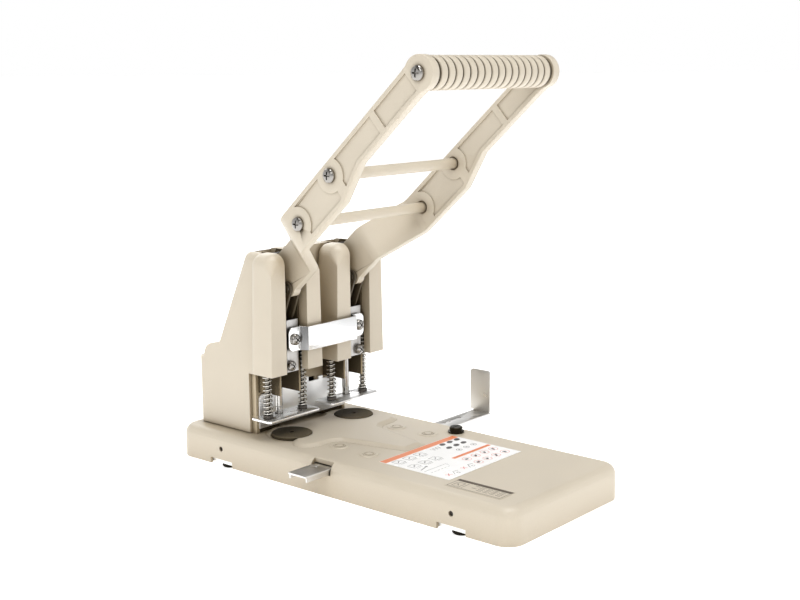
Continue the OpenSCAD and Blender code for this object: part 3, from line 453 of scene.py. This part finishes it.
def paper_bed():
    """A skin with soft slopes over the bed, open round the two cutting discs."""
    well_r = DISC_R / MM + WELL_GAP
    bed_h = (BASE_TOP - TABLE_Z) / MM + BED_PROUD
    outline = BED_HALF + [(-x, y) for x, y in reversed(BED_HALF)]
    xs = np.arange(*BED_GRID_X, BED_STEP)
    ys = np.arange(*BED_GRID_Y, BED_STEP)
    px, py = np.meshgrid(xs, ys, indexing="ij")
    distance = blurred(outline_distance(px, py, outline), 6)
    t = np.clip((distance + BED_SLOPE_OUT) / (BED_SLOPE_OUT + BED_SLOPE_IN), 0, 1)
    pz = bed_h * t * t * (3 - 2 * t)
    keep = t > 0.001
    for side in (-1, 1):
        cx, cy = side * DISC.x / MM, DISC.y / MM
        r = np.hypot(px - cx, py - cy)
        snap = np.abs(r - well_r) < BED_STEP * 0.5
        px = np.where(snap, cx + (px - cx) * well_r / np.maximum(r, 0.1), px)
        py = np.where(snap, cy + (py - cy) * well_r / np.maximum(r, 0.1), py)
        keep &= snap | (r > well_r)
    index = -np.ones(px.shape, int)
    index[keep] = np.arange(keep.sum())
    verts = np.stack([px[keep] * MM, py[keep] * MM, TABLE_Z + (pz[keep] + SKIN_LIFT) * MM], 1)
    a, b, c, e = index[:-1, :-1], index[1:, :-1], index[1:, 1:], index[:-1, 1:]
    whole = (a >= 0) & (b >= 0) & (c >= 0) & (e >= 0)
    faces = np.stack([a[whole], b[whole], c[whole], e[whole]], 1)
    obj = make_piece("paper_bed_skin", verts, faces, "base", materials["cover_cream"],
                     smooth=False)
    obj.data.polygons.foreach_set("use_smooth", [True] * len(obj.data.polygons))
    solid = obj.modifiers.new("thickness", "SOLIDIFY")
    solid.thickness = SKIN
    solid.offset = -1


paper_bed()


# ---- Pressure springs: round wire, closed at both ends ----

SPRING_WIRE = 0.55 * MM
SPRING_TURNS = 17
CLOSED_TURNS = 1.1


def coil_mesh(centre, r, wire, z0, z1, turns, per_turn=18, sides=8):
    """Tube along a helix whose first and last turns lie closed."""
    verts, faces = [], []
    n = turns * per_turn
    closed = CLOSED_TURNS / turns
    for i in range(n + 1):
        t = i / n
        e = min(max((t - closed) / (1 - 2 * closed), 0), 1)
        lift = 2 * wire * (min(t, closed) + max(t - 1 + closed, 0)) * turns
        free = z1 - z0 - 2 * wire * 2 * closed * turns
        angle = 2 * math.pi * turns * t
        mid = Vector((r * math.cos(angle), r * math.sin(angle), z0 + lift + free * e))
        out = Vector((math.cos(angle), math.sin(angle), 0))
        for j in range(sides):
            b = 2 * math.pi * j / sides
            verts.append(centre + mid + wire * (math.cos(b) * out + math.sin(b) * Vector((0, 0, 1))))
    for i in range(n):
        for j in range(sides):
            k = (j + 1) % sides
            faces.append((i * sides + j, (i + 1) * sides + j, (i + 1) * sides + k, i * sides + k))
    faces.append(tuple(range(sides)))
    faces.append(tuple(n * sides + j for j in reversed(range(sides))))
    return verts, faces


def pressure_springs():
    """Four springs in one piece, on the guide rods."""
    wire = SPRING_WIRE
    y = (SPRING_LOW.y + SPRING_HIGH.y) / 2
    r = (SPRING_HIGH.y - SPRING_LOW.y) / 2 - wire
    outer_x = SPRING_HIGH.x - r - wire
    rods = nodes["guide_rods"].data.vertices
    inner_x = min(abs(v.co.x) for v in rods) + (high("guide_rods").x - outer_x)
    z0, z1 = SPRING_LOW.z + wire, SPRING_HIGH.z - wire
    verts, faces = [], []
    for x in (-outer_x, -inner_x, inner_x, outer_x):
        v, f = coil_mesh(Vector((x, y, 0)), r, wire, z0, z1, SPRING_TURNS)
        faces += [tuple(i + len(verts) for i in face) for face in f]
        verts += v
    obj = make_piece("pressure_spring_wires", verts, faces, None, materials["spring_steel"],
                     angle=60)
    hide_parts("pressure_springs")
    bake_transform(obj)


pressure_springs()


# ---- Grip: rounded rings with tight gaps ----

RINGS = 16
RING_GAP = 1.2 * MM
RING_SOFT = 1.3 * MM
RING_DEPTH = 1.9 * MM
GRIP_BORE = 6.1 * MM
ARC_STEPS = 5


def lathe_x(name, profile, y, z, body, material, sides=72, angle=40):
    """Turns a closed (x, radius) profile about an axis along X."""
    verts, faces = [], []
    n = len(profile)
    for i in range(sides):
        a = 2 * math.pi * i / sides
        for x, r in profile:
            verts.append((x, y + r * math.cos(a), z + r * math.sin(a)))
    for i in range(sides):
        k = (i + 1) % sides
        for j in range(n):
            m = (j + 1) % n
            faces.append((i * n + j, i * n + m, k * n + m, k * n + j))
    return make_piece(name, verts, faces, body, material, angle=angle)


def ring_profile(x0, x1, r):
    """One ring from gap to gap as (x, radius), with both shoulders rounded."""
    points = [(x0, r - RING_DEPTH)]
    for x, way in ((x0 + RING_SOFT, -1), (x1 - RING_SOFT, 1)):
        steps = range(ARC_STEPS + 1) if way < 0 else reversed(range(ARC_STEPS + 1))
        for step in steps:
            a = math.radians(90 / ARC_STEPS * step)
            points.append((x + way * RING_SOFT * math.cos(a), r - RING_SOFT + RING_SOFT * math.sin(a)))
    points.append((x1, r - RING_DEPTH))
    return points


def grip_rings():
    """The grip's sleeve, turned in one piece."""
    centre = middle("grip_sleeve")
    r = (GRIP_HIGH.z - GRIP_LOW.z) / 2
    pitch = (GRIP_HIGH.x - GRIP_LOW.x) / RINGS
    profile = [(GRIP_LOW.x, GRIP_BORE)]
    for i in range(RINGS):
        x0 = GRIP_LOW.x + i * pitch + RING_GAP / 2
        profile += ring_profile(x0, x0 + pitch - RING_GAP, r)
    profile.append((GRIP_HIGH.x, GRIP_BORE))
    obj = lathe_x("grip_rings", profile, centre.y, centre.z, "handle", materials["grip_cream"])
    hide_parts("grip_sleeve")


grip_rings()


# ---- Printed artwork on the label and the panel, without lettering ----

INK_Z = 0.03 * MM


def prism(outline, z0, z1):
    """Closed thin solid from a flat convex outline of (x, y) points."""
    n = len(outline)
    verts = [(x, y, z0) for x, y in outline] + [(x, y, z1) for x, y in outline]
    faces = [tuple(reversed(range(n))), tuple(range(n, 2 * n))]
    faces += [(i, (i + 1) % n, n + (i + 1) % n, n + i) for i in range(n)]
    return verts, faces


class Ink:
    """Gathers flat shapes in millimetres on one surface into one piece of one colour."""

    def __init__(self, name, material, z):
        self.name, self.material, self.z = name, material, z
        self.verts, self.faces = [], []

    def shape(self, outline):
        """Adds one flat convex shape."""
        v, f = prism([(x * MM, y * MM) for x, y in outline], self.z, self.z + INK_Z)
        self.faces += [tuple(i + len(self.verts) for i in face) for face in f]
        self.verts += v

    def rect(self, x0, y0, x1, y1):
        self.shape([(x0, y0), (x1, y0), (x1, y1), (x0, y1)])

    def line(self, points, width=0.5, closed=False):
        """Adds a straight stroke between each two points."""
        ends = points[1:] + points[:1] if closed else points[1:]
        for (ax, ay), (bx, by) in zip(points, ends):
            length = math.hypot(bx - ax, by - ay)
            nx, ny = -(by - ay) / length * width / 2, (bx - ax) / length * width / 2
            self.shape([(ax - nx, ay - ny), (bx - nx, by - ny), (bx + nx, by + ny), (ax + nx, ay + ny)])

    def ellipse(self, cx, cy, rx, ry, tilt=0, sides=20):
        c, s = math.cos(math.radians(tilt)), math.sin(math.radians(tilt))
        dots = [(rx * math.cos(2 * math.pi * i / sides), ry * math.sin(2 * math.pi * i / sides))
                for i in range(sides)]
        self.shape([(cx + c * x - s * y, cy + s * x + c * y) for x, y in dots])

    def ring(self, cx, cy, r, width=0.4, sides=20):
        angles = [2 * math.pi * i / sides for i in range(sides + 1)]
        self.line([(cx + r * math.cos(a), cy + r * math.sin(a)) for a in angles], width)

    def arrow(self, x, y, dx, dy, width=0.45, head=1.6):
        """Adds a stroke from (x, y) along (dx, dy) with a pointed head beyond it."""
        length = math.hypot(dx, dy)
        ux, uy = dx / length, dy / length
        self.line([(x, y), (x + dx, y + dy)], width)
        tip = (x + dx + ux * head, y + dy + uy * head)
        self.shape([(x + dx + uy * head * 0.6, y + dy - ux * head * 0.6), tip,
                    (x + dx - uy * head * 0.6, y + dy + ux * head * 0.6)])

    def done(self, slot):
        """Makes the piece, once all its shapes are in."""
        make_piece(self.name, self.verts, self.faces, "base", self.material, smooth=False)


def step_drawings(dark, x0, y1):
    """Two rows of a sheet with a cut corner, an arrow on it and a rule below it."""
    for row in range(2):
        for column in range(3):
            cx = x0 + 9 + column * 12.5
            cy = y1 - 12 - row * 15.5
            dark.line([(cx - 4, cy - 3.4), (cx + 4, cy - 3.4), (cx + 4, cy + 1.2), (cx + 1.4, cy + 3.6),
                       (cx - 4, cy + 3.6)], 0.4, closed=True)
            dark.arrow(cx - 2.4, cy - 1.6, 2.6, 1.9, 0.6)
            dark.line([(cx - 3, cy - 5.2), (cx + 3.4, cy - 5.2)], 0.35)


def feed_drawing(dark, x0, y1):
    """A long arrow over an angled rule and a dashed one."""
    dark.arrow(x0 + 4, y1 - 38, 9, 2.6, 0.7, 2.4)
    dark.line([(x0 + 3, y1 - 42), (x0 + 28, y1 - 42), (x0 + 28, y1 - 45)], 0.35)
    for i in range(6):
        x = x0 + 4 + i * 4
        dark.line([(x, y1 - 47.5), (x + 2.4, y1 - 47.5)], 0.35)


def disc_drawings(dark, y1):
    """Two rows of filled discs, a row of rings with a centre, and three small wedges beside them."""
    for row in range(3):
        for column in range(3):
            cx = -0.5 + column * 9.2
            cy = y1 - 9.5 - row * 9.2
            if row < 2:
                dark.ellipse(cx + 20 - row * 3, cy, 3.4, 2.3, 20)
            else:
                dark.ring(cx + 18, cy, 2.3, 0.4)
                dark.ellipse(cx + 18, cy, 0.8, 0.8)
    for i in range(3):
        x = 3 + i * 3.4
        dark.line([(x, y1 - 10), (x + 1.4, y1 - 14.5), (x + 3.2, y1 - 10)], 0.4)


def warning_drawings(dark, red, y1):
    """Two rows of ringed warnings, every second one struck through."""
    for row in range(2):
        for column in range(4):
            cx = 2.5 + column * 11.2
            cy = y1 - 47 - row * 11.2
            red.ring(cx, cy, 3.6, 0.35)
            dark.ellipse(cx - 0.6, cy - 0.4, 1.9, 1.0, 30 * column)
            dark.line([(cx - 1.6, cy + 1.4), (cx + 1.7, cy + 0.6)], 0.4)
            if (row + column) % 2:
                red.line([(cx - 2.5, cy - 2.5), (cx + 2.5, cy + 2.5)], 0.35)


def crossed_drawings(dark, red, x0, y0):
    """Two red crosses, each beside a bent sheet and a small ring."""
    for cx, cy in ((x0 + 9, y0 + 7.5), (x0 + 29, y0 + 9)):
        red.line([(cx - 2, cy - 2), (cx + 2, cy + 2)], 0.6)
        red.line([(cx - 2, cy + 2), (cx + 2, cy - 2)], 0.6)
        dark.line([(cx + 4, cy - 3), (cx + 8, cy + 2.6), (cx + 13, cy + 1.6)], 0.45)
        dark.ring(cx + 9, cy - 2, 1.3, 0.35)


def label_artwork():
    """Orange bands and pictograms, placed in mm from the label's own edges."""
    top = LABEL_HIGH.z
    x0, x1 = LABEL_LOW.x / MM, LABEL_HIGH.x / MM
    y0, y1 = LABEL_LOW.y / MM, LABEL_HIGH.y / MM
    orange = Ink("label_orange_bands", INK_ORANGE, top)
    dark = Ink("label_dark_drawings", INK_DARK, top)
    red = Ink("label_red_marks", INK_RED, top)
    orange.rect(x0 + 0.3, y1 - 6.6, x1 - 0.3, y1 - 0.3)
    orange.rect(-3.5, y1 - 40, x1 - 1.2, y1 - 36.6)
    step_drawings(dark, x0, y1)
    feed_drawing(dark, x0, y1)
    disc_drawings(dark, y1)
    warning_drawings(dark, red, y1)
    crossed_drawings(dark, red, x0, y0)
    for ink in (orange, dark, red):
        ink.done("label_white")


def panel_artwork():
    """A dark bar, a frame, one pictogram and rows of short bars instead of print."""
    top = PANEL_HIGH.z
    x0, x1 = PANEL_LOW.x / MM, PANEL_HIGH.x / MM
    y0, y1 = PANEL_LOW.y / MM, PANEL_HIGH.y / MM
    ink = Ink("panel_brown_print", INK_BROWN, top)
    ink.rect(x1 - 4.2, y0 + 0.4, x1 - 0.4, y1 - 0.4)
    ink.line([(x0 + 1.2, y0 + 1.2), (x1 - 4, y0 + 1.2), (x1 - 4, y1 - 1.2), (x0 + 1.2, y1 - 1.2)], 0.45,
             closed=True)
    ink.line([(x0 + 2.5, y1 - 13), (x1 - 5.4, y1 - 13)], 0.35)
    ink.line([(x0 + 3, y1 - 4), (x0 + 9.5, y1 - 4), (x0 + 11.5, y1 - 6), (x0 + 11.5, y1 - 10.5),
              (x0 + 3, y1 - 10.5)], 0.4, closed=True)
    ink.arrow(x0 + 5, y1 - 8.6, 2.4, 2.0, 0.5, 1.5)
    for row in range(4):
        x = x1 - 6 - row * 2.4
        for k in range(5 - row % 2):
            y = y0 + 3.5 + k * 5.6
            ink.line([(x, y), (x, y + 4.1)], 0.55)
    ink.done("print_tan")


label_artwork()
panel_artwork()


# ---- Floor, light and camera ----

FLOOR_HALF = 60
FLOOR_GLOW = 0.60
TENT_RAMP = [(0.14, 0.0), (0.34, 1.0)]
TENT_WHITE = (1.0, 1.0, 1.0)
PANEL_GREY = (0.16, 0.15, 0.14)
PANEL_PALE = (0.85, 0.85, 0.84)
AIM = Vector((0, 0, 0.12))


def floor():
    """A wide pale floor that glows a little, so that it meets the tent without a line."""
    mat, tree, shader = new_material("floor_pale")
    broad = noise(tree, 3, 2.0)
    tree.links.new(mix(tree, broad, (0.93, 0.93, 0.93), (0.95, 0.95, 0.95)), shader.inputs["Base Color"])
    shader.inputs["Roughness"].default_value = 0.9
    shader.inputs["Specular IOR Level"].default_value = 0.1
    shader.inputs["Emission Color"].default_value = (1, 1, 1, 1)
    shader.inputs["Emission Strength"].default_value = FLOOR_GLOW
    corners = [(x * FLOOR_HALF, y * FLOOR_HALF, 0) for x, y in ((-1, -1), (1, -1), (1, 1), (-1, 1))]
    obj = make_piece("floor", corners, [(0, 1, 2, 3)], None, mat, smooth=False)


def area_light(name, place, size, power, colour=(1, 1, 1)):
    """A rectangular soft box that faces the punch."""
    data = bpy.data.lights.new(name, "AREA")
    data.shape = "RECTANGLE"
    data.size, data.size_y = size
    data.energy = power
    data.color = colour
    obj = bpy.data.objects.new(name, data)
    bpy.context.scene.collection.objects.link(obj)
    obj.location = place
    obj.rotation_euler = (AIM - Vector(place)).to_track_quat("-Z", "Y").to_euler()


def world_light():
    """A white tent up to a low height all round, with soft grey panels higher up."""
    world = bpy.data.worlds.new("studio")
    bpy.context.scene.world = world
    world.use_nodes = True
    tree = world.node_tree
    back = tree.nodes["Background"]
    coord = add(tree, "ShaderNodeTexCoord")
    split = add(tree, "ShaderNodeSeparateXYZ")
    tree.links.new(coord.outputs["Generated"], split.inputs[0])
    panels = add(tree, "ShaderNodeTexNoise", Scale=1.7, Detail=1.0)
    tree.links.new(coord.outputs["Generated"], panels.inputs["Vector"])
    above = ramp(tree, panels.outputs["Fac"], [(0.42, PANEL_GREY), (0.58, PANEL_PALE)])
    height = ramp(tree, split.outputs["Z"], TENT_RAMP)
    tree.links.new(mix(tree, height, TENT_WHITE, above), back.inputs["Color"])
    back.inputs["Strength"].default_value = 1.0


def camera(place, yaw, pitch, roll, lens):
    """Looks along (sin yaw, cos yaw), tipped down by pitch and turned by roll, all in degrees."""
    yaw, pitch, roll = (math.radians(v) for v in (yaw, pitch, roll))
    forward = Vector((math.sin(yaw) * math.cos(pitch), math.cos(yaw) * math.cos(pitch), -math.sin(pitch)))
    level = Vector((math.cos(yaw), -math.sin(yaw), 0))
    upright = level.cross(forward)
    right = math.cos(roll) * level + math.sin(roll) * upright
    up = -math.sin(roll) * level + math.cos(roll) * upright
    data = bpy.data.cameras.new("camera")
    data.lens = lens
    data.sensor_width = 36
    data.clip_end = 50
    obj = bpy.data.objects.new("camera", data)
    bpy.context.scene.collection.objects.link(obj)
    turn = Matrix((right, up, -forward)).transposed()
    obj.matrix_world = Matrix.Translation(place) @ turn.to_4x4()
    bpy.context.scene.camera = obj


floor()
world_light()
area_light("key_left", place=(-1.7, -0.9, 1.5), size=(1.4, 1.2), power=8.5, colour=(1.0, 0.985, 0.96))
area_light("top", place=(0.1, -0.25, 2.3), size=(1.6, 1.6), power=40)
area_light("rim_back", place=(0.9, 1.6, 1.2), size=(1.2, 1.0), power=8)
camera(place=(-0.7369, -0.6451, 0.3254), yaw=49.386, pitch=10.449, roll=-0.371, lens=57.19)
bpy.context.scene.view_settings.view_transform = "Standard"
bpy.context.scene.view_settings.look = "None"
